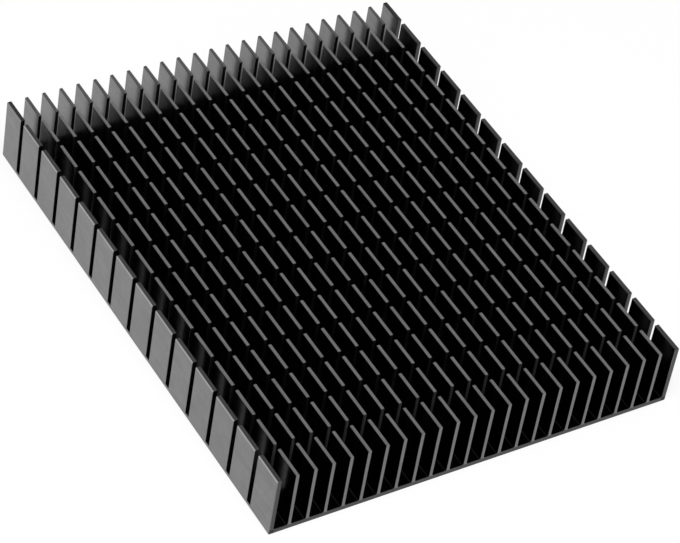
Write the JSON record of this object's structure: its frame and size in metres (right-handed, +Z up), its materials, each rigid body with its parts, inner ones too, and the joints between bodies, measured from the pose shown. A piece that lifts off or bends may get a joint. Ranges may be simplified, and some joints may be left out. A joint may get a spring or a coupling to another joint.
{
  "type": "pin fin heat sink",
  "caption": "Extruded and cross-cut pin fin heat sink: a thin flat base with rows of flat, square-ended pins, black anodised all over.",
  "frame": {"origin": "centre of the flat mounting face, which is also the middle of the footprint at the base", "axes": "+X across the fins, +Y along the extrusion, +Z up from the mounting face to the pin tips"},
  "size_m": [0.1, 0.125, 0.016],
  "materials": {
    "black_anodised": "satin black anodised, with fine extrusion lines on the pins' sides and saw marks on their cut ends"
  },
  "bodies": {
    "root": {"heat_sink": "black_anodised"}
  },
  "joints": []
}
